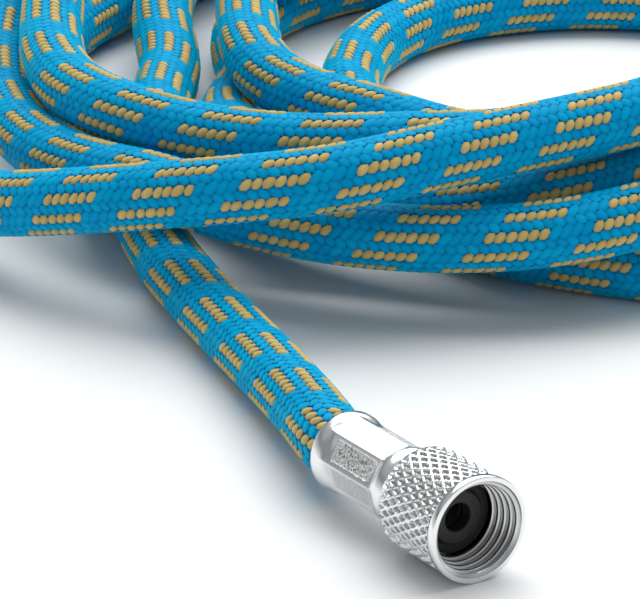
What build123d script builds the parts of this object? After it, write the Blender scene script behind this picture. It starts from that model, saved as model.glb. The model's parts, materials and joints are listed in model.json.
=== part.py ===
from build123d import *
from math import cos, radians, sin, tan, pi
import os

# A braided air or water hose with a swivel coupling on each end, lying loosely coiled on a flat surface.
# Millimetres. +X runs along the near coupling's thread axis, out of its mouth; +Z is up.
# The origin is on that axis, where the near coupling's thread begins behind its mouth chamfer.

# Thread: female G1/8, drawn as a plain bore of its minor diameter, with a relief behind it for the washer.
THREAD_R = 8.566 / 2
RELIEF_R = 4.6
CHAMFER = 1.05
MOUTH_R = THREAD_R + CHAMFER

# Swivel nut, measured back from its mouth.
NUT_R = 6.0
NUT_LENGTH = 11.4
GROOVE_AT = 0.95
GROOVE_WIDTH = 0.25
GROOVE_DEPTH = 0.25
KNURL_R = 5.9
SHOULDER = 1.4
SHOULDER_R = 4.9
CHEST_DEPTH = 8.05
NUT_BACK_BORE_R = 3.46

# Seal washer.
WASHER_R = 4.2
WASHER_HOLE_R = 1.7
WASHER_DEPTH = 4.0
WASHER_THICK = 1.5

# Hose tail: collar, neck, groove for the ferrule and barbed stem.
COLLAR_R = 4.1
COLLAR_DEPTH = 6.0
COLLAR_THICK = 2.0
NECK_R = 3.4
GROOVE_R = 2.95
STEM_R = 2.2
BARB_R = 2.5
BARB_PITCH = 2.6
BARBS = 4
TAIL_BORE_R = 1.5

# Ferrule: a shell closed in front round the tail and crimped to eight flats.
FERRULE_FRONT = 12.0
FERRULE_WALL = 1.2
FERRULE_REAR = 25.8
FERRULE_R = 4.55
FERRULE_NOSE_R = 3.95
LIP_R = 4.65
LIP_LENGTH = 1.0
FERRULE_BORE_R = 3.7
FLATS = 8
FLAT_APOTHEM = 4.2
CRIMP_FRONT = 14.4
CRIMP_REAR = 24.6

# Hose: a liner and a braided cover, squeezed thinner inside the ferrule.
HOSE_R = 4.0
LINER_R = 3.3
LINER_BORE_R = 2.0
GRIPPED_LINER_R = 3.0
HOSE_START = 24.8
GRIP_FRONT = 13.4

# The hose bends as it leaves the near ferrule, sinks to the floor and runs under the coil.
FLOOR_Z = -NUT_R
NEAR_ROUTE = [
    (CHAMFER - HOSE_START, 0.0, 0.0),
    (-27.1, 0.0, 0.0),
    (-33.2, 2.1, -0.2),
    (-44.5, 5.6, -1.0),
    (-60.0, 9.8, -2.0),
    (-74.5, 12.9, -2.0),
    (-88.5, 16.4, -2.0),
    (-101.0, 20.6, -2.0),
]

# The coil: a ring of loose turns, its outline given about its own centre.
COIL_CENTRE = (-120.65, 84.4)
COIL_ANGLE = 57.2
COIL_HEIGHT = 27.0
COIL_OUTSIDE = [
    (84, 0),
    (77, 45),
    (48, 73),
    (0, 85),
    (-42, 74),
    (-67, 48),
    (-67, -24),
    (-46, -62),
    (0, -78),
    (42, -74),
    (76, -47),
]
COIL_INSIDE = [(42, 10), (27, 27), (0, 26), (-13, 10), (-13, -18), (-6, -35), (22, -31), (37, -12)]
OUTSIDE_ROUND = 16.0
INSIDE_ROUND = 7.0
COIL_TOP_ROUND = 4.0

# The far end comes off the top of the coil, goes round outside it and comes down to the floor.
# In the coil's own axes: across, along and height over the floor.
FAR_ROUTE = [
    (-7.5, -71.7, 20.3),
    (-20.0, -76.6, 19.0),
    (-33.5, -76.0, 17.4),
    (-46.0, -70.0, 14.2),
    (-57.5, -61.0, 10.2),
    (-68.5, -49.0, 6.0),
    (-77.0, -36.0, 4.2),
    (-83.0, -21.0, 4.0),
    (-86.5, -6.0, 5.2),
    (-88.0, 8.0, 6.0),
    (-88.7, 17.0, 6.0),
]

ARC_SHARE = 0.45


def coil_point(across, along, height):
    """A point given in the coil's own axes, in the part's frame."""
    turn = radians(COIL_ANGLE)
    x = COIL_CENTRE[0] + across * cos(turn) - along * sin(turn)
    y = COIL_CENTRE[1] + across * sin(turn) + along * cos(turn)
    return Vector(x, y, FLOOR_Z + height)


def bend_radii(points):
    """The largest arc at each corner that leaves its two runs a straight middle."""
    radii = []
    for before, here, after in zip(points, points[1:], points[2:]):
        into, out = here - before, after - here
        half_turn = radians(into.get_angle(out)) / 2
        radii.append(ARC_SHARE * min(into.length, out.length) / tan(half_turn))
    return radii


def hose_line(points):
    """Straight runs joined by tangent arcs."""
    return FilletPolyline(*points, radius=bend_radii(points))


def turned(section, outline):
    """A turned piece: its half section about the coupling's axis, points as (back from the mouth, radius)."""
    with BuildSketch(section) as half:
        with BuildLine():
            Polyline(*[(-back, radius) for back, radius in outline], close=True)
        make_face()
    revolve(half.sketch, axis=Axis(section.origin, section.x_dir))


def save(part, name):
    part.label = name
    export_step(part, f"parts/{name}.step")


def swivel_nut(section, name):
    with BuildPart() as nut:
        outline = [
            (0, MOUTH_R),
            (0, NUT_R),
            (GROOVE_AT, NUT_R),
            (GROOVE_AT, KNURL_R - GROOVE_DEPTH),
            (GROOVE_AT + GROOVE_WIDTH, KNURL_R - GROOVE_DEPTH),
            (GROOVE_AT + GROOVE_WIDTH, KNURL_R),
            (NUT_LENGTH - SHOULDER, KNURL_R),
            (NUT_LENGTH, SHOULDER_R),
            (NUT_LENGTH, NUT_BACK_BORE_R),
            (CHEST_DEPTH, NUT_BACK_BORE_R),
            (CHEST_DEPTH, RELIEF_R),
            (WASHER_DEPTH, RELIEF_R),
            (WASHER_DEPTH, THREAD_R),
            (CHAMFER, THREAD_R),
        ]
        turned(section, outline)
    save(nut.part, name)


def seal_washer(section, name):
    with BuildPart() as washer:
        front, rear = WASHER_DEPTH, WASHER_DEPTH + WASHER_THICK
        turned(section, [(front, WASHER_HOLE_R), (front, WASHER_R), (rear, WASHER_R), (rear, WASHER_HOLE_R)])
    save(washer.part, name)


def hose_tail(section, name):
    with BuildPart() as tail:
        collar_rear = COLLAR_DEPTH + COLLAR_THICK
        groove_rear = FERRULE_FRONT + FERRULE_WALL
        outline = [
            (COLLAR_DEPTH, TAIL_BORE_R),
            (COLLAR_DEPTH, COLLAR_R),
            (collar_rear, COLLAR_R),
            (collar_rear, NECK_R),
            (FERRULE_FRONT, NECK_R),
            (FERRULE_FRONT, GROOVE_R),
            (groove_rear, GROOVE_R),
            (groove_rear, STEM_R),
        ]
        for barb in range(BARBS):
            front = groove_rear + 0.6 + barb * BARB_PITCH
            outline += [(front, STEM_R), (front, BARB_R), (front + BARB_PITCH * 0.8, STEM_R)]
        outline += [(HOSE_START, STEM_R), (HOSE_START, TAIL_BORE_R)]
        turned(section, outline)
    save(tail.part, name)


def ferrule(section, name):
    with BuildPart() as shell:
        lip_front = FERRULE_REAR - LIP_LENGTH
        outline = [
            (FERRULE_FRONT, GROOVE_R),
            (FERRULE_FRONT, FERRULE_NOSE_R),
            (FERRULE_FRONT + 0.8, FERRULE_R),
            (lip_front - 0.4, FERRULE_R),
            (lip_front, LIP_R),
            (FERRULE_REAR - 0.3, LIP_R),
            (FERRULE_REAR, LIP_R - 0.25),
            (FERRULE_REAR, HOSE_R),
            (HOSE_START, HOSE_R),
            (HOSE_START, FERRULE_BORE_R),
            (FERRULE_FRONT + FERRULE_WALL, FERRULE_BORE_R),
            (FERRULE_FRONT + FERRULE_WALL, GROOVE_R),
        ]
        turned(section, outline)
        crimp_start = section.origin - section.x_dir * CRIMP_REAR
        with BuildSketch(Plane(origin=crimp_start, x_dir=section.y_dir, z_dir=section.x_dir)):
            Circle(FERRULE_R + 1)
            RegularPolygon(FLAT_APOTHEM, FLATS, major_radius=False, mode=Mode.SUBTRACT)
        extrude(amount=CRIMP_REAR - CRIMP_FRONT, mode=Mode.SUBTRACT)
    save(shell.part, name)


def hose_layer(section, route, inner, outer, gripped_inner, gripped_outer, name):
    """One layer of the hose: the free length swept along its route and the stretch gripped by the ferrule."""
    with BuildPart() as layer:
        with BuildLine() as centre:
            hose_line(route)
        start = Plane(origin=route[0], z_dir=route[1] - route[0])
        with BuildSketch(start) as ring:
            Circle(outer)
            Circle(inner, mode=Mode.SUBTRACT)
        sweep(path=centre.wire())
        turned(
            section,
            [
                (GRIP_FRONT, gripped_inner),
                (GRIP_FRONT, gripped_outer),
                (HOSE_START, gripped_outer),
                (HOSE_START, gripped_inner),
            ],
        )
    free = centre.wire().length
    gripped = (HOSE_START - GRIP_FRONT) * pi * (gripped_outer**2 - gripped_inner**2)
    expected = round(free * ring.sketch.area + gripped)
    print(name, "free length", round(free, 1), "volume", round(layer.part.volume), "expected", expected)
    save(layer.part, name)


def coupling(section, route, side):
    """The four pieces of one coupling and the two layers of the hose that it holds."""
    swivel_nut(section, f"{side}_swivel_nut")
    seal_washer(section, f"{side}_seal_washer")
    hose_tail(section, f"{side}_hose_tail")
    ferrule(section, f"{side}_ferrule")
    print(side, "bend radii", [round(radius) for radius in bend_radii(route)])
    hose_layer(section, route, LINER_R, HOSE_R, GRIPPED_LINER_R, FERRULE_BORE_R, f"{side}_hose_cover")
    hose_layer(section, route, LINER_BORE_R, LINER_R, BARB_R, GRIPPED_LINER_R, f"{side}_hose_liner")


def hose_coil():
    """The outer shape of the loose turns, one closed ring."""
    across = (cos(radians(COIL_ANGLE)), sin(radians(COIL_ANGLE)), 0)
    centre = Plane(origin=(*COIL_CENTRE, FLOOR_Z), x_dir=across)
    with BuildPart() as coil:
        with BuildSketch(centre):
            with BuildLine():
                FilletPolyline(*COIL_OUTSIDE, radius=OUTSIDE_ROUND, close=True)
            make_face()
            with BuildLine():
                FilletPolyline(*COIL_INSIDE, radius=INSIDE_ROUND, close=True)
            make_face(mode=Mode.SUBTRACT)
        extrude(amount=COIL_HEIGHT)
        fillet(coil.edges().group_by(Axis.Z)[-1], COIL_TOP_ROUND)
    save(coil.part, "hose_coil")


os.makedirs("parts", exist_ok=True)
near_section = Plane(origin=(CHAMFER, 0, 0), x_dir=(1, 0, 0), z_dir=(0, -1, 0))
near_route = [Vector(*point) for point in NEAR_ROUTE]
coupling(near_section, near_route, "near")

far_end = [coil_point(*point) for point in FAR_ROUTE]
far_out = (far_end[-1] - far_end[-2]).normalized()
far_mouth = far_end[-1] + far_out * HOSE_START
far_section = Plane(origin=far_mouth, x_dir=far_out, z_dir=far_out.cross(Vector(0, 0, 1)))
coupling(far_section, far_end[::-1], "far")
print("far mouth", far_mouth, "axis", far_out)

hose_coil()
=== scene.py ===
import json
from math import atan2, cos, pi, radians, sin, sqrt, tan

import bpy
import numpy as np
from mathutils import Matrix, Vector


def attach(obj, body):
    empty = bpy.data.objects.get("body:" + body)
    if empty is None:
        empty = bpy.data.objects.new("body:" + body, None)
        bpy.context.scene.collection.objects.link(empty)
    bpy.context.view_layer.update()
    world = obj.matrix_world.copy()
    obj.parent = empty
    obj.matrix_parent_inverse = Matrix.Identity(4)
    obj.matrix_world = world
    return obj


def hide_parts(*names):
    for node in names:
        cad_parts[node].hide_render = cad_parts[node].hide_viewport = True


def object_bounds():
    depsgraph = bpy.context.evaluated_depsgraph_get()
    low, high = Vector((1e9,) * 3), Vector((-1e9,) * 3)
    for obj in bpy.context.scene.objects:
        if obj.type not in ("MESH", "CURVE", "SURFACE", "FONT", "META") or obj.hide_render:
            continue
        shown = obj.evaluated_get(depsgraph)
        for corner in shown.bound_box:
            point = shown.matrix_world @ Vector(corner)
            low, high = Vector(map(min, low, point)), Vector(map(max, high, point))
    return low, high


# A coil of braided hose with a plated swivel coupling on each end.
# Sizes are numbers of millimetres, and MM turns them into Blender's metres, unless a comment says metres.
# Angles are in degrees, unless radians() is round them.
MM = 0.001

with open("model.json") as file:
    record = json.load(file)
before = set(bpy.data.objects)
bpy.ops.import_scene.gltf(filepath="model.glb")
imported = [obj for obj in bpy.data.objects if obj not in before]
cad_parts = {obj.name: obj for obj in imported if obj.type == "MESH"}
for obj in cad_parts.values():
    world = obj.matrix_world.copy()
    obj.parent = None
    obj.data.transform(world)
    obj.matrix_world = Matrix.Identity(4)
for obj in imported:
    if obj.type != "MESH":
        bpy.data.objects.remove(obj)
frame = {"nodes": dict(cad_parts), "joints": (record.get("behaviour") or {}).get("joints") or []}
CAD_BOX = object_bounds()
FLOOR = CAD_BOX[0][2] / MM

# ---------------------------------------------------------------- the camera

CAMERA_TARGET = (-15.41, -9.3, 22.56)
CAMERA_AZIMUTH = 57.2
CAMERA_ELEVATION = 21.3
CAMERA_DISTANCE = 620.0
CAMERA_LENS = 332.4
CAMERA_SENSOR = 36.0
# The nearest and farthest that the camera sees, in metres.
CAMERA_CLIP = (0.01, 20.0)


def outward(azimuth, elevation):
    """The direction from a target out to something that stands at that azimuth and elevation."""
    a, e = radians(azimuth), radians(elevation)
    return Vector((sin(a) * cos(e), -cos(a) * cos(e), sin(e)))


def place_facing(piece, location, out):
    """Puts a camera or a light there, looking back along the direction out."""
    piece.location = location
    piece.rotation_mode = "QUATERNION"
    piece.rotation_quaternion = (-out).to_track_quat("-Z", "Y")
    bpy.context.scene.collection.objects.link(piece)


def add_camera():
    """A long lens, low and close to the near coupling."""
    out = outward(CAMERA_AZIMUTH, CAMERA_ELEVATION)
    camera = bpy.data.objects.new("camera", bpy.data.cameras.new("camera"))
    camera.data.lens = CAMERA_LENS
    camera.data.sensor_width = CAMERA_SENSOR
    camera.data.clip_start, camera.data.clip_end = CAMERA_CLIP
    place_facing(camera, (Vector(CAMERA_TARGET) + out * CAMERA_DISTANCE) * MM, out)
    bpy.context.scene.camera = camera


# ---------------------------------------------------------------- the hose's line

HOSE_R = 4.0

# The near route up to the coil, and the far route, as the CAD model has them.
NEAR_ROUTE = [
    (-23.75, 0.0, 0.0),
    (-27.1, 0.0, 0.0),
    (-33.2, 2.1, -0.2),
    (-44.5, 5.6, -1.0),
    (-60.0, 9.8, -2.0),
    (-74.5, 12.9, -2.0),
    (-88.5, 16.4, -2.0),
]
COIL_CENTRE = (-120.65, 84.4)
COIL_ANGLE = 57.2

# In the coil's own axes: across, along and height over the floor.
COIL_START = [(-42.5, -51.0, 4.0), (-46.5, -36.0, 4.0), (-51.5, -20.0, 4.0)]
FAR_ROUTE = [
    (-7.5, -71.7, 20.3),
    (-20.0, -76.6, 19.0),
    (-33.5, -76.0, 17.4),
    (-46.0, -70.0, 14.2),
    (-57.5, -61.0, 10.2),
    (-68.5, -49.0, 6.0),
    (-77.0, -36.0, 4.2),
    (-83.0, -21.0, 4.0),
    (-86.5, -6.0, 5.2),
    (-88.0, 8.0, 6.0),
    (-88.7, 17.0, 6.0),
]

# How far each turn reaches from the coil's centre at every eighth of a turn, clockwise from above.
# These weren't chosen by hand: they are the result of a separate fitting program, in whole millimetres.
REACH_START = [59, 60, 69, 84]
REACHES = [
    [79, 84, 58, 25, 18, 21, 31, 43],
    [50, 57, 52, 43, 31, 41, 49, 57],
    [46, 41, 41, 36, 31, 38, 45, 61],
    [71, 54, 64, 53, 41, 54, 67, 75],
    [79, 65, 73, 71, 61, 66, 79, 78],
    [60, 45, 58, 65, 56, 77, 77, 56],
    [53, 52, 69],
]
EIGHTH = 45.0
TURN_STEP = 5.0
# The last turn stops this far short of its last eighth.
TURN_END = 14.0
# Turns that cross lie LIE_APART between centres. Points within NEIGHBOUR_RUN along the hose don't cross.
LIE_APART = 8.3
NEIGHBOUR_RUN = 20.0


def in_coil(points):
    """Plan points given in the coil's own axes, in the frame's."""
    turn = radians(COIL_ANGLE)
    across, along = np.array(points, float)[:, 0], np.array(points, float)[:, 1]
    x = COIL_CENTRE[0] + across * cos(turn) - along * sin(turn)
    y = COIL_CENTRE[1] + across * sin(turn) + along * cos(turn)
    return np.column_stack([x, y])


def turn_points():
    """The loose turns in plan: a smooth reach through the eighths, walked in small steps."""
    reach = np.array(REACH_START + sum(REACHES, []), float)
    padded = np.concatenate([[2 * reach[0] - reach[1]], reach, [2 * reach[-1] - reach[-2]]])
    angle = np.arange(0, (len(reach) - 1) * EIGHTH - TURN_END, TURN_STEP)
    i = (angle // EIGHTH).astype(int)
    t = angle / EIGHTH - i
    a, b, c, d = padded[i], padded[i + 1], padded[i + 2], padded[i + 3]
    radius = b + 0.5 * t * (c - a + t * (2 * a - 5 * b + 4 * c - d + t * (3 * (b - c) + d - a)))
    way = np.radians(180.0 - angle)
    return np.column_stack([radius * np.cos(way), radius * np.sin(way)])


def settle(plan, given, step=4.0, rounds=800, stiffness=0.4, sag=0.004):
    """Heights of a hose let down turn by turn: it sags to the floor and lies on the turns under it."""
    lowest = FLOOR + HOSE_R
    run = np.append(0, np.cumsum(np.linalg.norm(np.diff(plan, axis=0), axis=1)))
    at = np.arange(0, run[-1], step)
    xy = np.column_stack([np.interp(at, run, plan[:, 0]), np.interp(at, run, plan[:, 1])])
    held = np.interp(at, run, np.isnan(given).astype(float)) < 1e-6
    hold = np.interp(at, run, np.nan_to_num(given, nan=lowest))
    apart = np.linalg.norm(xy[:, None] - xy[None], axis=2)
    later = np.arange(len(at))[None] - np.arange(len(at))[:, None] > NEIGHBOUR_RUN / step
    under, over = np.nonzero((apart < LIE_APART) & later)
    rise = np.sqrt(LIE_APART**2 - apart[under, over] ** 2)
    z = np.where(held, hold, lowest)
    for _ in range(rounds):
        z[1:-1] += stiffness * (z[:-2] - 2 * z[1:-1] + z[2:] - sag * step**2)
        z = np.maximum(z, lowest)
        need = np.full(len(z), lowest)
        np.maximum.at(need, over, z[under] + rise)
        z = np.where(held, hold, np.maximum(z, need))
    return np.interp(run, at, z)


def hose_points():
    """The whole hose's control points in metres, from the near ferrule through the coil to the far one."""
    near, start, far = (np.array(p, float) for p in (NEAR_ROUTE, COIL_START, FAR_ROUTE))
    plan = np.vstack([near[:, :2], in_coil(start), in_coil(turn_points()), in_coil(far)])
    loose = len(plan) - len(near) - len(far)
    given = np.concatenate([near[:, 2], np.full(loose, np.nan), far[:, 2] + FLOOR])
    z = settle(plan, given)
    z = np.where(np.isnan(given), z, given)
    return np.column_stack([plan, z]) * MM


CURVE_RESOLUTION = 4
BEVEL_RESOLUTION = 3


def nurbs(name, points, thickness=0.0):
    """One open spline with those control points, and round with that radius if it has one, all in metres."""
    curve = bpy.data.curves.new(name, "CURVE")
    curve.dimensions = "3D"
    spline = curve.splines.new("NURBS")
    spline.points.add(len(points) - 1)
    spline.points.foreach_set("co", np.column_stack([points, np.ones(len(points))]).ravel())
    spline.order_u = 3
    spline.use_endpoint_u = True
    spline.resolution_u = CURVE_RESOLUTION
    curve.bevel_depth = thickness
    curve.bevel_resolution = BEVEL_RESOLUTION
    piece = bpy.data.objects.new(name, curve)
    bpy.context.scene.collection.objects.link(piece)
    return piece


class Line:
    """The hose's smooth centreline with a frame that doesn't twist along it."""

    def __init__(self, points, spacing=0.5):
        guide = nurbs("hose_guide", points)
        mesh = bpy.data.meshes.new_from_object(guide)
        read = np.empty(len(mesh.vertices) * 3)
        mesh.vertices.foreach_get("co", read)
        read = read.reshape(-1, 3) / MM
        bpy.data.meshes.remove(mesh)
        bpy.data.objects.remove(guide)
        run = np.append(0, np.cumsum(np.linalg.norm(np.diff(read, axis=0), axis=1)))
        self.length = run[-1]
        self.run = np.linspace(0, self.length, int(self.length / spacing) + 1)
        self.place = np.column_stack([np.interp(self.run, run, read[:, k]) for k in range(3)])
        along = np.gradient(self.place, axis=0)
        self.along = along / np.linalg.norm(along, axis=1)[:, None]
        up = np.empty_like(self.along)
        current = np.array([0.0, 0.0, 1.0])
        for k, ahead in enumerate(self.along):
            current = current - ahead * (current @ ahead)
            current /= sqrt(current @ current)
            up[k] = current
        self.up = up
        self.side = np.cross(self.along, self.up)

    def at(self, run, angle, radius):
        """Points in metres, from the run along the hose, the angle round it and the radius about its line."""
        flat = run.ravel()

        def read(values):
            return np.column_stack([np.interp(flat, self.run, values[:, k]) for k in range(3)])

        sideways = np.cos(angle).ravel()[:, None] * read(self.side)
        upwards = np.sin(angle).ravel()[:, None] * read(self.up)
        beyond = (flat - np.clip(flat, 0, self.length))[:, None] * read(self.along)
        return (read(self.place) + beyond + (sideways + upwards) * radius.ravel()[:, None]) * MM


# ---------------------------------------------------------------- meshes

def mesh_piece(name, points, faces, smooth=True):
    """A mesh object from an array of points in metres and an array of faces, one row of corners each."""
    count, corners = faces.shape
    mesh = bpy.data.meshes.new(name)
    mesh.vertices.add(len(points))
    mesh.vertices.foreach_set("co", np.asarray(points, np.float32).ravel())
    mesh.loops.add(faces.size)
    mesh.loops.foreach_set("vertex_index", faces.astype(np.int32).ravel())
    mesh.polygons.add(count)
    mesh.polygons.foreach_set("loop_start", np.arange(0, faces.size, corners, dtype=np.int32))
    mesh.polygons.foreach_set("use_smooth", np.full(count, smooth))
    mesh.update(calc_edges=True)
    mesh.validate()
    piece = bpy.data.objects.new(name, mesh)
    bpy.context.scene.collection.objects.link(piece)
    return piece


def add_attribute(piece, name, values):
    """A number at each point, for the piece's material to read."""
    attribute = piece.data.attributes.new(name, "FLOAT", "POINT")
    attribute.data.foreach_set("value", np.asarray(values, np.float32).ravel())


def ring_faces(rows, columns):
    """Quads between the rings of a turned surface, whose last ring joins its first."""
    row, column = np.arange(rows)[:, None], np.arange(columns)[None]
    after_row, after_column = (row + 1) % rows, (column + 1) % columns
    quads = [row * columns + column, row * columns + after_column]
    quads += [after_row * columns + after_column, after_row * columns + column]
    return np.stack(quads, axis=-1).reshape(-1, 4)


# ---------------------------------------------------------------- materials

class Nodes:
    """A material's node tree, with short ways to add nodes and links."""

    def __init__(self, name):
        self.material = bpy.data.materials.new(name)
        self.material.use_nodes = True
        self.tree = self.material.node_tree
        self.shader = self.tree.nodes["Principled BSDF"]

    def add(self, kind, **values):
        """A node, its own settings and its inputs set by name."""
        node = self.tree.nodes.new(kind)
        for key, value in values.items():
            if hasattr(node, key):
                setattr(node, key, value)
            else:
                node.inputs[key.replace("_", " ")].default_value = value
        return node

    def link(self, source, target):
        self.tree.links.new(source, target)

    def math(self, operation, first, second=0.0):
        node = self.add("ShaderNodeMath", operation=operation)
        for socket, value in zip(node.inputs, (first, second)):
            if isinstance(value, (int, float)):
                socket.default_value = value
            else:
                self.link(value, socket)
        return node.outputs[0]

    def total(self, *shares, base=0.0):
        """Values added up, each times its share, on top of a base."""
        total = self.math("MULTIPLY", *shares[0])
        for share in shares[1:]:
            total = self.math("ADD", total, self.math("MULTIPLY", *share))
        return self.math("ADD", total, base) if base else total

    def ramp(self, factor, stops):
        """Colours or greys blended by factor, as (position, colour) stops."""
        node = self.add("ShaderNodeValToRGB")
        elements = node.color_ramp.elements
        for k, (position, colour) in enumerate(stops):
            element = elements[k] if k < 2 else elements.new(position)
            element.position = position
            element.color = (*colour, 1.0) if hasattr(colour, "__len__") else (colour, colour, colour, 1.0)
        self.link(factor, node.inputs[0])
        return node.outputs[0]

    def read(self, name):
        """The number that the piece's points carry by that name."""
        return self.add("ShaderNodeAttribute", attribute_name=name).outputs["Fac"]

    def noise(self, scale, detail=3.0, stretch=None, roughness=0.55):
        """Noise in the object's own space, in features per metre, stretched along an axis if asked."""
        place = self.add("ShaderNodeTexCoord").outputs["Object"]
        if stretch:
            mapping = self.add("ShaderNodeMapping")
            mapping.inputs["Scale"].default_value = stretch
            self.link(place, mapping.inputs["Vector"])
            place = mapping.outputs[0]
        node = self.add("ShaderNodeTexNoise", Scale=scale, Detail=detail, Roughness=roughness)
        self.link(place, node.inputs["Vector"])
        return node.outputs["Fac"]

    def bump(self, height, strength, distance):
        node = self.add("ShaderNodeBump", Strength=strength, Distance=distance)
        self.link(height, node.inputs["Height"])
        self.link(node.outputs[0], self.shader.inputs["Normal"])

    def set(self, **values):
        """Values and sources for the shader's inputs."""
        for key, value in values.items():
            socket = self.shader.inputs[key.replace("_", " ")]
            if isinstance(value, bpy.types.NodeSocket):
                self.link(value, socket)
            else:
                socket.default_value = value


# Each yarn's colour runs from dark to light with its fibres and its own tone, and with the height of its
# crown, which paints shade at each float's foot and a highlight on its crown.
BLUE_YARN = {
    "dark": (0.0, 0.17, 0.45),
    "middle": (0.0, 0.34, 0.64),
    "light": (0.0, 0.6, 0.82),
    "painted_shade_share": 0.28,
    "sheen": (0.0, 0.85, 0.9),
}
GOLD_YARN = {
    "dark": (0.38, 0.27, 0.09),
    "middle": (0.57, 0.42, 0.15),
    "light": (0.8, 0.64, 0.3),
    "painted_shade_share": 0.35,
    "sheen": (0.8, 0.7, 0.4),
}
FIBRE_SHARE = 0.22
TONE_SHARE = 0.16
FIBRE_SCALE = 2.2
FIBRE_WAVER = 1.4
FIBRE_LENGTHWAYS = 0.25
YARN_SPECULAR = 0.03


def yarn_material(name, dark, middle, light, painted_shade_share, sheen):
    """Bright multifilament yarn: fine filaments along each float, a tone of its own for each float, and
    painted shade at each float's foot with a painted highlight on its crown.
    """
    m = Nodes(name)
    filaments = m.add(
        "ShaderNodeTexWave", wave_type="BANDS", bands_direction="X", Scale=FIBRE_SCALE, Distortion=FIBRE_WAVER
    )
    position = m.add("ShaderNodeCombineXYZ")
    m.link(m.read("across"), position.inputs[0])
    m.link(m.math("MULTIPLY", m.read("lengthways"), FIBRE_LENGTHWAYS), position.inputs[1])
    m.link(m.read("tone"), position.inputs[2])
    m.link(position.outputs[0], filaments.inputs["Vector"])
    fibre = filaments.outputs["Fac"]
    # The crown's share is painted light: each float is darker at its foot and lighter on its crown.
    shade = m.total((fibre, FIBRE_SHARE), (m.read("tone"), TONE_SHARE), (m.read("crown"), painted_shade_share))
    m.set(Base_Color=m.ramp(shade, [(0.0, dark), (0.45, middle), (0.9, light)]), Roughness=0.5)
    m.set(Specular_IOR_Level=YARN_SPECULAR)
    m.set(Sheen_Weight=0.6, Sheen_Roughness=0.35, Sheen_Tint=(*sheen, 1.0))
    m.bump(fibre, 0.3, 0.00003)
    return m.material


def core_material():
    """What shows between the yarns: the shaded depth of the braid."""
    m = Nodes("braid_depth")
    shade = m.ramp(m.noise(900.0), [(0.3, (0.0, 0.23, 0.5)), (0.7, (0.0, 0.29, 0.58))])
    m.set(Base_Color=shade, Roughness=0.85, Specular_IOR_Level=YARN_SPECULAR)
    return m.material


PLATE_BRIGHT = (0.8, 0.8, 0.81)
# The darker plate colour serves the crimp die's wear and the painted shade in the thread's roots and the
# knurl's pits.
PLATE_WORN_AND_SHADED = (0.2, 0.19, 0.18)
PLATE_ROUGHNESS = 0.09
CLOUD_ROUGHNESS = 0.1
BITTEN_ROUGHNESS = 0.1
SATIN_ROUGHNESS = 0.12
# How far the painted shade darkens the thread's roots and the knurl's pits.
ROOT_SHADE = 0.8
CLOUD_HEIGHT = 0.1
PIT_HEIGHT = 2.0


def plated_material():
    """Bright nickel plate with faint unevenness, rough where the crimp die has bitten, and with painted shade
    that darkens the thread's roots and the knurl's pits.
    """
    m = Nodes("bright_plate")
    cloud = m.noise(260.0, 4.0)
    bitten = m.read("bitten")
    satin_and_shade = m.read("satin_and_shade")
    pits = m.noise(3800.0, 2.0, roughness=0.7)
    rough = m.total(
        (cloud, CLOUD_ROUGHNESS), (bitten, BITTEN_ROUGHNESS), (satin_and_shade, SATIN_ROUGHNESS), base=PLATE_ROUGHNESS
    )
    worn = m.math("MULTIPLY", bitten, m.ramp(pits, [(0.36, 0.0), (0.62, 1.0)]))
    # Where satin passes 1, in the thread's roots and the knurl's pits, shade is painted in: the colour goes
    # darker there, and the metal is rough too.
    painted_root_shade = m.math("MAXIMUM", m.math("SUBTRACT", satin_and_shade, 1.0), 0.0)
    wear_and_root_shade = m.math("ADD", worn, m.math("MULTIPLY", painted_root_shade, ROOT_SHADE))
    m.set(Base_Color=m.ramp(wear_and_root_shade, [(0.0, PLATE_BRIGHT), (1.0, PLATE_WORN_AND_SHADED)]), Metallic=1.0, Roughness=rough)
    m.bump(m.total((cloud, CLOUD_HEIGHT), (worn, PIT_HEIGHT)), 0.6, 0.0002)
    return m.material


def tail_material():
    """Turned metal inside the nut."""
    m = Nodes("turned_metal")
    rings = m.noise(700.0, 2.0, stretch=(9.0, 1.0, 1.0))
    m.set(Base_Color=m.ramp(rings, [(0.3, (0.55, 0.54, 0.52)), (0.7, (0.7, 0.69, 0.66))]))
    m.set(Metallic=1.0, Roughness=m.total((rings, 0.2), base=0.2))
    return m.material


def rubber_material():
    """Black moulded rubber, dull with a little grain."""
    m = Nodes("seal_rubber")
    grain = m.noise(2500.0, 4.0)
    m.set(Base_Color=m.ramp(grain, [(0.3, (0.012, 0.011, 0.01)), (0.7, (0.028, 0.024, 0.022))]))
    m.set(Roughness=m.total((grain, 0.2), base=0.45))
    m.bump(grain, 0.25, 0.00005)
    return m.material


def floor_material():
    """Matt white paper."""
    m = Nodes("white_floor")
    m.set(Base_Color=m.ramp(m.noise(3.0), [(0.2, 0.87), (0.8, 0.9)]), Roughness=0.9, Specular_IOR_Level=0.1)
    return m.material


def paint(piece, material):
    """Gives the piece that material alone."""
    piece.data.materials.clear()
    piece.data.materials.append(material)


# ---------------------------------------------------------------- the braid

# Each hand of the braid has twenty yarns in a lay, and their floats line up in ten ribs along the hose.
# Of the first hand's yarns six in every ten are gold, and all the others are blue.
RIBS = 10
YARNS = 20
REPEAT = 10
GOLD_RUN = 6
PITCH = 1.21
LAY = YARNS * PITCH
YARN_ANGLE = atan2(2 * pi * HOSE_R, LAY)
# Half a float's length and half its width.
GOLD_FLOAT = (0.9, 0.54)
WIDE_FLOAT = (1.18, 0.6)
NARROW_FLOAT = (0.84, 0.58)
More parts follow.
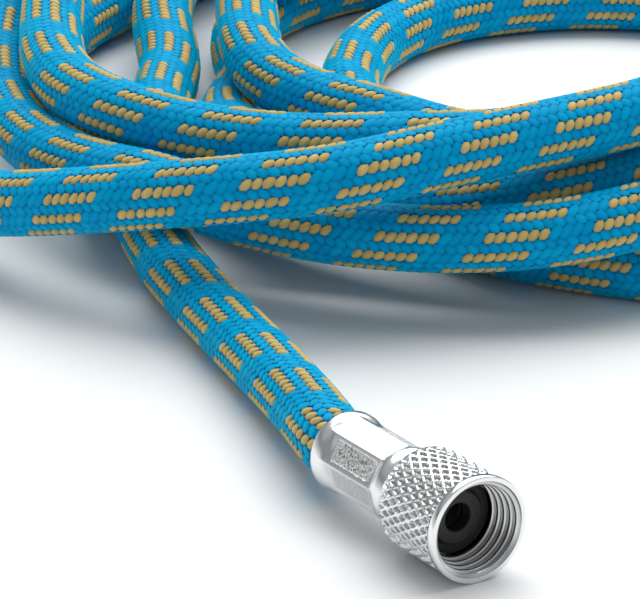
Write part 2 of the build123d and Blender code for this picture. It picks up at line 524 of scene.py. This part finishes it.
# How far a float's top and its foot are from the hose's centre, and the radius of what shows between floats.
GOLD_TOP = 4.07
FLOAT_TOP = 3.98
GOLD_FOOT = 3.84
FLOAT_FOOT = 3.9
CORE_R = 3.89
BRAID_TURN = radians(20.0)
BRAID_SHIFT = 5.6
# The braid is drawn longer where the ferrules grip it, and eases back over some centimetres.
STRETCH = 9.0
STRETCH_REACH = 45.0
# Floats stop short of the hose's ends by this much.
BRAID_MARGIN = 0.2
# How unevenly the floats lie: along the hose, round it in radians, and in length.
BRAID_SEED = 7
RUN_SCATTER = 0.03
ANGLE_SCATTER = 0.006
LENGTH_SCATTER = (0.96, 1.04)
# The stretches that each colour's floats are joined into.
GOLD_PIECES = 3
BLUE_PIECES = 6

# A float's mesh: sections along it and lanes across it, from -1 to 1, and the powers that round it off.
FLOAT_SECTIONS = (-0.55, 0.0, 0.55)
FLOAT_LANES = (-1.0, -0.55, 0.0, 0.55, 1.0)
WIDTH_POWER = 0.8
CROWN_POWER = 0.6


def float_template():
    """One float of yarn seen from above: its points as (lengthways, across, crown) and its faces."""
    points = [(-1.0, 0.0, 0.0)]
    for t in FLOAT_SECTIONS:
        width = sqrt(1 - t * t) ** WIDTH_POWER
        for lane in FLOAT_LANES:
            points.append((t, lane * width, (1 - lane * lane) ** CROWN_POWER * (1 - t * t) ** 0.5))
    points.append((1.0, 0.0, 0.0))
    faces = []
    count = len(FLOAT_LANES)
    last = 1 + (len(FLOAT_SECTIONS) - 1) * count
    for k in range(count - 1):
        faces.append((0, 2 + k, 1 + k))
        faces.append((len(points) - 1, last + k, last + k + 1))
        for section in range(len(FLOAT_SECTIONS) - 1):
            here, there = 1 + section * count + k, 1 + (section + 1) * count + k
            faces += [(here, here + 1, there + 1), (here, there + 1, there)]
    return np.array(points), np.array(faces)


def floats(line, hand, gold):
    """Where one hand's floats lie along the hose and round it: those of its gold yarns or of the others."""
    yarn = np.arange(YARNS)
    is_gold = (yarn % REPEAT < GOLD_RUN) & (hand > 0)
    yarn = yarn[is_gold] if gold else yarn[~is_gold]
    laps = np.arange(-1, int(line.length / LAY) + 2)
    rib, yarn, lap = (a.ravel() for a in np.meshgrid(np.arange(RIBS), yarn, laps, indexing="ij"))
    between = 0.0 if hand > 0 else 0.5
    angle = 2 * pi / RIBS * (rib + between)
    run = BRAID_SHIFT + hand * LAY / RIBS * rib - PITCH * yarn + LAY * lap + between * PITCH
    near_pull, far_pull = np.exp(-run / STRETCH_REACH), np.exp((run - line.length) / STRETCH_REACH)
    run = run + STRETCH * (far_pull - near_pull)
    inside = (run > BRAID_MARGIN) & (run < line.length - BRAID_MARGIN)
    return run[inside], angle[inside]


def braid_piece(line, name, kinds, material, low, high):
    """All floats of one colour on one stretch of the hose, from low to high along it."""
    template, faces = float_template()
    rng = np.random.default_rng(BRAID_SEED)
    points, tones = [], []
    for hand, gold in kinds:
        run, angle = floats(line, hand, gold)
        mine = (run >= low) & (run < high)
        run, angle = run[mine], angle[mine]
        tones.append(rng.uniform(0.0, 1.0, len(run)))
        run = run + rng.normal(0, RUN_SCATTER, len(run))
        angle = angle + rng.normal(0, ANGLE_SCATTER, len(run)) + BRAID_TURN
        half_length, half_width = GOLD_FLOAT if gold else WIDE_FLOAT if hand > 0 else NARROW_FLOAT
        foot, top = (GOLD_FOOT, GOLD_TOP) if gold else (FLOAT_FOOT, FLOAT_TOP)
        a = template[None, :, 0] * half_length * rng.uniform(*LENGTH_SCATTER, len(run))[:, None]
        b = np.tile(template[None, :, 1] * half_width, (len(run), 1))
        s = run[:, None] + a * cos(YARN_ANGLE) - hand * b * sin(YARN_ANGLE)
        turn = angle[:, None] + (hand * a * sin(YARN_ANGLE) + b * cos(YARN_ANGLE)) / HOSE_R
        radius = foot + (top - foot) * np.tile(template[None, :, 2], (len(run), 1))
        points.append(line.at(s, turn, radius))
    points, tones = np.vstack(points), np.concatenate(tones)
    count = len(tones)
    all_faces = (faces[None] + len(template) * np.arange(count)[:, None, None]).reshape(-1, 3)
    piece = mesh_piece(name, points, all_faces)
    for column, attribute in enumerate(("lengthways", "across", "crown")):
        add_attribute(piece, attribute, np.tile(template[:, column], count))
    add_attribute(piece, "tone", np.repeat(tones, len(template)))
    paint(piece, material)
    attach(piece, "hose")
    return piece


def braid(line):
    """The braided cover: the floats of its gold and blue yarns, in stretches."""
    pieces = []
    for colour, look, parts, kinds in (
        ("gold", GOLD_YARN, GOLD_PIECES, [(1, True)]),
        ("blue", BLUE_YARN, BLUE_PIECES, [(1, False), (-1, False)]),
    ):
        material = yarn_material(f"{colour}_yarn", **look)
        cuts = np.linspace(-2.0, line.length + 2.0, parts + 1)
        for k in range(parts):
            name = f"braid_{colour}_{k + 1}"
            pieces.append(braid_piece(line, name, kinds, material, cuts[k], cuts[k + 1]))
    return pieces


# ---------------------------------------------------------------- the couplings

# Depths are measured back from the nut's mouth, which stands CHAMFER in front of the thread's start.
CHAMFER = 1.05
NUT_R = 6.0
NUT_LENGTH = 11.4
MOUTH_R = 5.4
MOUTH_EDGE = 0.04
MOUTH_SLOPE = 1.5
NUT_BACK_BORE_R = 3.46
CHEST_DEPTH = 8.05

KNURL_R = 5.9
KNURL_FRONT = 1.2
KNURL_REAR = 10.0
KNURLS = 32
KNURL_ANGLE = radians(30.0)
KNURL_DEPTH = 0.34
KNURL_ROWS = 80
# Where a ridge's flat top ends and its foot begins, as shares of the way from one ridge to the next.
RIDGE_TOP = 0.09
RIDGE_FOOT = 0.3
# The knurl fades into a rounded shoulder, which starts a little inside it and lies just under its ridges.
SHOULDER_EASE = 0.4
SHOULDER_UNDER = 0.02
SHOULDER_DROP = 1.15
SHOULDER_END_R = 4.55
KNURL_OVERRUN = 0.5
SHOULDER_SHARES = (0.45, 0.6, 0.72, 0.82, 0.9, 0.96, 0.99)

THREAD_PITCH = 0.907
THREAD_CREST_R = 4.3
THREAD_FLARE = 0.72
THREAD_HEIGHT = 0.38
THREAD_END = 4.0
# The share of each ring's wave where its flank starts and ends.
THREAD_FLANK = (0.12, 0.88)
THREAD_RUNOUT = 0.25
THREAD_ROWS = 100
RELIEF_R = 4.6

# The satin number of each surface: 0 is bright, and over 1 it also paints shade, as a darker colour.
SHOULDER_SATIN = 0.5
KNURL_SATIN = 0.5
PIT_SATIN_AND_SHADE = 0.7
THREAD_SATIN = 1.0
MOUTH_SATIN = 1.4
FERRULE_SATIN = 0.7

COLUMNS = 288
SHARP_ANGLE = radians(38.0)

# The nut's plain rim with the groove behind it, and its inside behind the thread, as (depth, radius).
RIM = [
    (0.0, MOUTH_R + MOUTH_EDGE),
    (0.0, NUT_R - 0.14),
    (0.05, NUT_R - 0.04),
    (0.14, NUT_R),
    (0.85, NUT_R),
    (0.93, NUT_R - 0.05),
    (0.95, KNURL_R - 0.3),
    (1.15, KNURL_R - 0.3),
]
CHEST = [
    (NUT_LENGTH, SHOULDER_END_R),
    (NUT_LENGTH, NUT_BACK_BORE_R),
    (CHEST_DEPTH, NUT_BACK_BORE_R),
    (CHEST_DEPTH, RELIEF_R),
    (THREAD_END + THREAD_RUNOUT, RELIEF_R),
]


def soft_step(x, low, high):
    """0 before low and 1 after high, eased between them. It falls instead where low is the larger."""
    t = np.clip((x - low) / (high - low), 0, 1)
    return t * t * (3 - 2 * t)


def soft_band(x, rise, fall):
    """0 outside a band and 1 in it, eased up over rise and down over fall."""
    return soft_step(x, *rise) * (1 - soft_step(x, *fall))


def coupling_frame(side):
    """Places a coupling: x is 0 at its mouth and points out of it, and z is as near up as it can be."""
    joint = next(j for j in frame["joints"] if j["name"] == f"{side}_nut_swivel")
    x = Vector(joint["axis"]).normalized()
    z = (Vector((0, 0, 1)) - x * x.z).normalized()
    turn = Matrix((x, z.cross(x), z)).transposed().to_4x4()
    return Matrix.Translation(Vector(joint["pos_m"]) + x * CHAMFER * MM) @ turn


def ring_angles():
    """The angles of the points of every ring."""
    return np.linspace(0, 2 * pi, COLUMNS, endpoint=False)


class Rings:
    """The rings of a turned piece. Each number given for a ring may vary round it."""

    def __init__(self):
        self.depths, self.radii, self.looks = [], [], []

    def add(self, depth, radius, look=0.0):
        """A ring at that depth, with a number for how its surface looks."""
        self.depths.append(np.broadcast_to(depth, COLUMNS))
        self.radii.append(np.broadcast_to(radius, COLUMNS))
        self.looks.append(np.broadcast_to(look, COLUMNS))

    def add_outline(self, outline):
        """Plain rings from an outline's points."""
        for depth, radius in outline:
            self.add(depth, radius)

    def piece(self, name, place):
        """The mesh, closed from its last ring to its first, put where the coupling is."""
        angle, depth, radius = ring_angles(), np.array(self.depths), np.array(self.radii)
        local = np.stack([-depth, radius * np.cos(angle), radius * np.sin(angle)], axis=-1)
        matrix = np.array(place)
        points = local.reshape(-1, 3) * MM @ matrix[:3, :3].T + matrix[:3, 3]
        piece = mesh_piece(name, points, ring_faces(len(depth), COLUMNS))
        piece.data.set_sharp_from_angle(angle=SHARP_ANGLE)
        return piece


def knurl_row(depth, angle):
    """The radius round the knurl at one depth: two crossing sets of raised ridges with pits between."""
    lines = []
    for hand in (1, -1):
        phase = KNURLS * angle / (2 * pi) + hand * depth * tan(KNURL_ANGLE) * KNURLS / (2 * pi * KNURL_R)
        away = np.abs(phase - np.round(phase))
        lines.append(1 - soft_step(away, RIDGE_TOP, RIDGE_FOOT))
    ridge = np.maximum(lines[0], lines[1])
    return KNURL_R - KNURL_DEPTH * (1 - ridge)


def shoulder_radius(depth):
    """The nut's outside where it rounds off at the back."""
    bend = (depth - KNURL_REAR + SHOULDER_EASE) / (NUT_LENGTH - KNURL_REAR + SHOULDER_EASE)
    return KNURL_R - SHOULDER_UNDER - SHOULDER_DROP * (1 - np.sqrt(1 - np.clip(bend, 0, 1) ** 2))


def nut_piece(side, place, plate):
    """The swivel nut: plain rim, groove, diamond knurl, rounded shoulder, chest and internal thread."""
    angle = ring_angles()
    rings = Rings()
    rings.add_outline(RIM)
    for depth in np.linspace(KNURL_FRONT, KNURL_REAR + KNURL_OVERRUN, KNURL_ROWS):
        radius = np.minimum(knurl_row(depth, angle), shoulder_radius(depth))
        pit = np.clip((KNURL_R - radius) / KNURL_DEPTH, 0.0, 1.0)
        knurled = depth < KNURL_REAR - SHOULDER_EASE
        # In the knurl's pits the satin number passes 1, which paints shade there as a darker colour.
        rings.add(depth, radius, SHOULDER_SATIN + (KNURL_SATIN + PIT_SATIN_AND_SHADE * pit) * knurled)
    for share in SHOULDER_SHARES:
        depth = KNURL_REAR + share * (NUT_LENGTH - KNURL_REAR)
        rings.add(depth, shoulder_radius(depth))
    rings.add_outline(CHEST)
    for depth in np.linspace(THREAD_END, MOUTH_EDGE, THREAD_ROWS):
        wave = 0.5 + 0.5 * np.cos(2 * pi * depth / THREAD_PITCH - angle)
        crest = THREAD_CREST_R + THREAD_FLARE * (1 - depth / THREAD_END)
        thread = crest + THREAD_HEIGHT * soft_step(wave, *THREAD_FLANK)
        cone = MOUTH_R - MOUTH_SLOPE * (depth - MOUTH_EDGE)
        # Towards the thread's roots the satin number passes 1, which paints shade there as a darker colour.
        rings.add(depth, np.maximum(thread, cone), THREAD_SATIN + wave)
    piece = rings.piece(f"{side}_knurled_nut", place)
    satin_and_shade = np.array(rings.looks)
    # The mouth's edge is made rougher and darker in colour.
    satin_and_shade[-2:] = MOUTH_SATIN
    add_attribute(piece, "bitten", np.zeros(satin_and_shade.size))
    add_attribute(piece, "satin_and_shade", satin_and_shade)
    paint(piece, plate)
    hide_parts(f"{side}_swivel_nut")
    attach(piece, f"{side}_nut")
    return piece


HOSE_START = 24.8
FERRULE_FRONT = 12.0
FERRULE_REAR = 25.8
FERRULE_R = 4.55
FERRULE_BODY = (FERRULE_FRONT + 1.4, FERRULE_REAR - 0.95)
FERRULE_ROWS = 64
FERRULE_NOSE_R = 3.95
GROOVE_R = 2.95
NOSE_EDGE = 0.05
NOSE_LENGTH = 1.17
NOSE_SHARES = np.linspace(0.15, 1.0, 6)
LIP_R = 4.65
LIP_RISE = (FERRULE_REAR - 1.7, FERRULE_REAR - 0.9)

FLATS = 8
FLAT_APOTHEM = 4.12
FLAT_DISH = 0.07
FLAT_TURN = radians(15.0)
CRIMP_FRONT = 14.0
CRIMP_REAR = 24.9
CRIMP_RISE = (CRIMP_FRONT - 0.5, CRIMP_FRONT + 0.7)
CRIMP_FALL = (CRIMP_REAR - 1.5, CRIMP_REAR - 0.3)
# The die has bitten one flat hard and every third one faintly, inside these limits along and across the flat.
BITTEN_FLAT = 3
FAINT_BITE = 0.35
BITE_RISE = (CRIMP_FRONT + 0.9, CRIMP_FRONT + 1.8)
BITE_FALL = (CRIMP_REAR - 3.0, CRIMP_REAR - 2.2)
BITE_EDGE = (0.31, 0.24)

# The ferrule's rolled lip and the step inside it that takes the hose's end, as (depth, radius).
FERRULE_BACK = [
    (FERRULE_REAR - 0.4, LIP_R),
    (FERRULE_REAR - 0.12, LIP_R - 0.05),
    (FERRULE_REAR - 0.02, LIP_R - 0.14),
    (FERRULE_REAR, LIP_R - 0.28),
    (FERRULE_REAR - 0.05, HOSE_R + 0.1),
    (FERRULE_REAR - 0.3, HOSE_R + 0.02),
    (HOSE_START, HOSE_R),
    (HOSE_START, GROOVE_R),
]


def ferrule_piece(side, place, plate):
    """The crimped ferrule: round at both ends, with eight pressed flats that run out softly."""
    angle = ring_angles()
    pitch = 2 * pi / FLATS
    from_flat = (angle - FLAT_TURN + pitch / 2) % pitch - pitch / 2
    number = np.round((angle - FLAT_TURN) / pitch) % FLATS
    flat = FLAT_APOTHEM / np.cos(from_flat) - FLAT_DISH * np.cos(from_flat * FLATS / 2) ** 2
    bitten_flats = (number == BITTEN_FLAT) + FAINT_BITE * (number % 3 == 1)
    rings = Rings()
    rings.add(FERRULE_FRONT, GROOVE_R)
    rings.add(FERRULE_FRONT, FERRULE_NOSE_R - 2 * NOSE_EDGE)
    rings.add(FERRULE_FRONT + NOSE_EDGE, FERRULE_NOSE_R)
    for share in NOSE_SHARES:
        depth = FERRULE_FRONT + NOSE_EDGE + NOSE_LENGTH * (1 - sqrt(1 - share**2))
        rings.add(depth, FERRULE_NOSE_R + (FERRULE_R - FERRULE_NOSE_R) * share)
    for depth in np.linspace(*FERRULE_BODY, FERRULE_ROWS):
        press = soft_band(depth, CRIMP_RISE, CRIMP_FALL)
        body = FERRULE_R + (LIP_R - FERRULE_R) * soft_step(depth, *LIP_RISE)
        bite = press * soft_step(np.abs(from_flat), *BITE_EDGE) * soft_band(depth, BITE_RISE, BITE_FALL)
        rings.add(depth, body - press * (body - np.minimum(body, flat)), bite * bitten_flats)
    rings.add_outline(FERRULE_BACK)
    piece = rings.piece(f"{side}_crimped_ferrule", place)
    add_attribute(piece, "bitten", rings.looks)
    add_attribute(piece, "satin_and_shade", np.full(len(piece.data.vertices), FERRULE_SATIN))
    paint(piece, plate)
    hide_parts(f"{side}_ferrule")
    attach(piece, "hose")
    return piece


WASHER_FRONT = 4.0
WASHER_REAR = 5.5
WASHER_R = 4.2
WASHER_HOLE_R = 1.6
WASHER_FACE_R = 2.95
WASHER_EDGE = 0.1
# The flat seal's raised face, the slope and the rim round it, and its plain back, as (depth, radius).
WASHER = [
    (WASHER_FRONT, WASHER_HOLE_R + WASHER_EDGE),
    (WASHER_FRONT, WASHER_FACE_R - WASHER_EDGE),
    (WASHER_FRONT + 0.03, WASHER_FACE_R),
    (WASHER_FRONT + 0.45, WASHER_FACE_R + 0.35),
    (WASHER_FRONT + 0.5, WASHER_R - 0.15),
    (WASHER_FRONT + 0.6, WASHER_R),
    (WASHER_REAR - WASHER_EDGE, WASHER_R),
    (WASHER_REAR, WASHER_R - WASHER_EDGE),
    (WASHER_REAR, WASHER_HOLE_R),
    (WASHER_FRONT + WASHER_EDGE, WASHER_HOLE_R),
]


def washer_piece(side, place, rubber):
    """The flat seal, with softened edges."""
    rings = Rings()
    rings.add_outline(WASHER)
    piece = rings.piece(f"{side}_flat_seal", place)
    paint(piece, rubber)
    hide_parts(f"{side}_seal_washer")
    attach(piece, f"{side}_washer")
    return piece


# ---------------------------------------------------------------- light and floor

# The key light's place round the coil, and its sizes, in metres.
KEY_AZIMUTH = 222.0
KEY_ELEVATION = 57.0
KEY_DISTANCE = 1.15
KEY_SIZE = (1.7, 1.4)
KEY_POWER = 24.0
KEY_COLOUR = (0.98, 1.0, 0.99)
COIL_MIDDLE = (-0.08, 0.05, 0.0)
# The floor's half width and how far it is under the lowest point, in metres.
FLOOR_HALF = 4.0
FLOOR_GAP = 0.00005
# The surroundings' brightness by height, as (position, level), and their tint.
SKY = [(0.0, 0.75), (0.1, 0.7), (0.2, 0.45), (0.34, 0.2), (0.6, 0.45)]
SKY_TINT = (0.94, 0.98, 1.0)


def add_key_light():
    """One wide soft light that faces the coil from behind and above."""
    out = outward(KEY_AZIMUTH, KEY_ELEVATION)
    data = bpy.data.lights.new("key", "AREA")
    data.shape = "RECTANGLE"
    data.size, data.size_y = KEY_SIZE
    data.energy = KEY_POWER
    data.color = KEY_COLOUR
    light = bpy.data.objects.new("key", data)
    place_facing(light, Vector(COIL_MIDDLE) + out * KEY_DISTANCE, out)


def add_floor():
    """One wide level sheet under the coil."""
    half, z = FLOOR_HALF, FLOOR * MM - FLOOR_GAP
    corners = np.array([(-half, -half, z), (half, -half, z), (half, half, z), (-half, half, z)])
    floor = mesh_piece("floor", corners, np.array([[0, 1, 2, 3]]), smooth=False)
    paint(floor, floor_material())


def add_surroundings():
    """A pale studio round the coil, dimmer in its middle heights, for the plating to mirror."""
    world = bpy.data.worlds.new("studio")
    world.use_nodes = True
    tree = world.node_tree
    place = tree.nodes.new("ShaderNodeTexCoord")
    split = tree.nodes.new("ShaderNodeSeparateXYZ")
    ramp = tree.nodes.new("ShaderNodeValToRGB")
    elements = ramp.color_ramp.elements
    for k, (position, level) in enumerate(SKY):
        element = elements[k] if k < 2 else elements.new(position)
        element.position = position
        element.color = (*(level * share for share in SKY_TINT), 1.0)
    tree.links.new(place.outputs["Generated"], split.inputs[0])
    tree.links.new(split.outputs["Z"], ramp.inputs[0])
    tree.links.new(ramp.outputs[0], tree.nodes["Background"].inputs["Color"])
    tree.nodes["Background"].inputs["Strength"].default_value = 1.0
    bpy.context.scene.world = world
    bpy.context.scene.view_settings.view_transform = "Standard"


# ---------------------------------------------------------------- making it

add_camera()
control = hose_points()
line = Line(control)
core = nurbs("hose_core", control, CORE_R * MM)
core.data.materials.append(core_material())
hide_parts("hose_coil", *[f"{s}_hose_{n}" for s in ("near", "far") for n in ("cover", "liner")])
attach(core, "hose")
yarns = braid(line)

plate = plated_material()
rubber = rubber_material()
metal = tail_material()
for side in ("near", "far"):
    place = coupling_frame(side)
    pieces = [
        nut_piece(side, place, plate),
        ferrule_piece(side, place, plate),
        washer_piece(side, place, rubber),
        frame["nodes"][f"{side}_hose_tail"],
    ]
    paint(pieces[-1], metal)

add_floor()
add_key_light()
add_surroundings()
